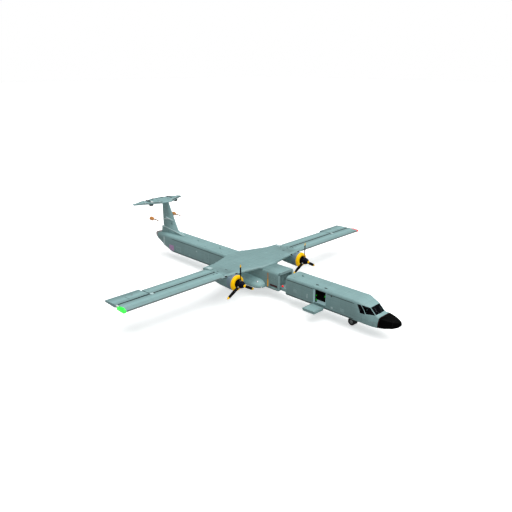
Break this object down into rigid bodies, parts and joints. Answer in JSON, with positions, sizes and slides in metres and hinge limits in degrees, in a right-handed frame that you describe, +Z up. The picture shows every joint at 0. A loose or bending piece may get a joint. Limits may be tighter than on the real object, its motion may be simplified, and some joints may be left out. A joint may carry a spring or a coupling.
{
  "type": "twin-propeller military transport plane",
  "caption": "Long, narrow military transport plane with a high straight wing, propeller engines, a T-tail, a lowered entry door and a rear loading ramp, parked on its wheels.",
  "frame": {"origin": "on the ground, midway along the plane's length and in its plane of symmetry", "axes": "+X towards the nose, +Y to port, +Z up"},
  "size_m": [38.34, 36.46, 7.49],
  "materials": {
    "skin": "satin",
    "nose_black": "satin",
    "dark_glass": "gloss",
    "yellow_cowl": "satin",
    "black_blade": "satin",
    "tyre": "matte",
    "gear_steel": "satin",
    "orange_probe": "satin",
    "green_lamp": "gloss",
    "red_lamp": "gloss",
    "tail_grey": "satin"
  },
  "bodies": {
    "airframe": {"fuselage_nose": "skin", "windscreen": "dark_glass", "side_window_front_port": "dark_glass", "side_window_front_starboard": "dark_glass", "side_window_rear_port": "dark_glass", "side_window_rear_starboard": "dark_glass", "nose_cone": "nose_black", "fuselage_front": "skin", "keel_bridge": "skin", "fuselage_centre": "skin", "hold_bulkhead": "skin", "fuselage_rear": "skin", "fuselage_tail": "skin", "tail_cap": "tail_grey", "wing_centre": "skin", "wing_outer_port": "skin", "wing_outer_starboard": "skin", "tip_lamp_port": "red_lamp", "tip_lamp_starboard": "green_lamp", "nacelle_port": "skin", "nacelle_starboard": "skin", "cowl_ring_port": "yellow_cowl", "cowl_ring_starboard": "yellow_cowl", "sponson_port": "skin", "sponson_starboard": "skin", "main_leg_port": "gear_steel", "main_leg_starboard": "gear_steel", "nose_strut": "gear_steel", "fin": "skin", "tailplane": "skin", "probe_port": "orange_probe", "probe_starboard": "orange_probe"},
    "propeller_port": {"propeller_port": "black_blade"},
    "propeller_starboard": {"propeller_starboard": "black_blade"},
    "main_wheels_port": {"main_wheels_port": "tyre"},
    "main_wheels_starboard": {"main_wheels_starboard": "tyre"},
    "nose_fork": {"nose_fork": "gear_steel"},
    "nose_wheels": {"nose_wheels": "tyre"},
    "flap_port": {"flap_port": "skin"},
    "flap_starboard": {"flap_starboard": "skin"},
    "aileron_port": {"aileron_port": "skin"},
    "aileron_starboard": {"aileron_starboard": "skin"},
    "rudder": {"rudder": "skin"},
    "elevator_port": {"elevator_port": "skin"},
    "elevator_starboard": {"elevator_starboard": "skin"},
    "entry_door": {"entry_door": "skin"},
    "cargo_ramp": {"cargo_ramp": "skin"}
  },
  "joints": [
    {"name": "propeller_port_spin", "type": "hinge", "parent": "airframe", "child": "propeller_port", "pos_m": [3.48, 5.16, 2.69], "axis": [1, 0, 0], "continuous": true},
    {"name": "propeller_starboard_spin", "type": "hinge", "parent": "airframe", "child": "propeller_starboard", "pos_m": [3.48, -5.16, 2.69], "axis": [1, 0, 0], "continuous": true},
    {"name": "main_wheels_port_roll", "type": "hinge", "parent": "airframe", "child": "main_wheels_port", "pos_m": [-0.95, 1.72, 0.5], "axis": [0, 1, 0], "continuous": true},
    {"name": "main_wheels_starboard_roll", "type": "hinge", "parent": "airframe", "child": "main_wheels_starboard", "pos_m": [-0.95, -1.72, 0.5], "axis": [0, 1, 0], "continuous": true},
    {"name": "nose_steering", "type": "hinge", "parent": "airframe", "child": "nose_fork", "pos_m": [14.02, 0, 1.02], "axis": [0, 0, 1], "range_deg": [-50, 50]},
    {"name": "nose_wheels_roll", "type": "hinge", "parent": "nose_fork", "child": "nose_wheels", "pos_m": [14.02, 0, 0.41], "axis": [0, 1, 0], "continuous": true},
    {"name": "flap_port_hinge", "type": "hinge", "parent": "airframe", "child": "flap_port", "pos_m": [-0.14, 10, 3.27], "axis": [0, -1, 0], "range_deg": [0, 35]},
    {"name": "flap_starboard_hinge", "type": "hinge", "parent": "airframe", "child": "flap_starboard", "pos_m": [-0.14, -10, 3.27], "axis": [0, -1, 0], "range_deg": [0, 35]},
    {"name": "aileron_port_hinge", "type": "hinge", "parent": "airframe", "child": "aileron_port", "pos_m": [-0.14, 16.2, 3.27], "axis": [0, -1, 0], "range_deg": [-20, 20]},
    {"name": "aileron_starboard_hinge", "type": "hinge", "parent": "airframe", "child": "aileron_starboard", "pos_m": [-0.14, -16.2, 3.27], "axis": [0, -1, 0], "range_deg": [-20, 20]},
    {"name": "rudder_hinge", "type": "hinge", "parent": "airframe", "child": "rudder", "pos_m": [-16.45, 0, 5.4], "axis": [0, 0, 1], "range_deg": [-25, 25]},
    {"name": "elevator_port_hinge", "type": "hinge", "parent": "airframe", "child": "elevator_port", "pos_m": [-17.45, 1.83, 7.28313], "axis": [0.3633, -0.9299, 0.0581], "range_deg": [-20, 20]},
    {"name": "elevator_starboard_hinge", "type": "hinge", "parent": "airframe", "child": "elevator_starboard", "pos_m": [-17.45, -1.83, 7.28313], "axis": [-0.3633, -0.9299, -0.0581], "range_deg": [-20, 20]},
    {"name": "entry_door_hinge", "type": "hinge", "parent": "airframe", "child": "entry_door", "pos_m": [10.7, -1.27, 1.3], "axis": [-1, 0, 0], "range_deg": [0, 90]},
    {"name": "cargo_ramp_hinge", "type": "hinge", "parent": "airframe", "child": "cargo_ramp", "pos_m": [-13.96, 0, 1.275], "axis": [0, -1, 0], "range_deg": [0, 38]}
  ],
  "couplings": [
    {"joint": "flap_starboard_hinge", "follows": "flap_port_hinge", "ratio": 1},
    {"joint": "aileron_starboard_hinge", "follows": "aileron_port_hinge", "ratio": -1},
    {"joint": "elevator_starboard_hinge", "follows": "elevator_port_hinge", "ratio": 1}
  ]
}
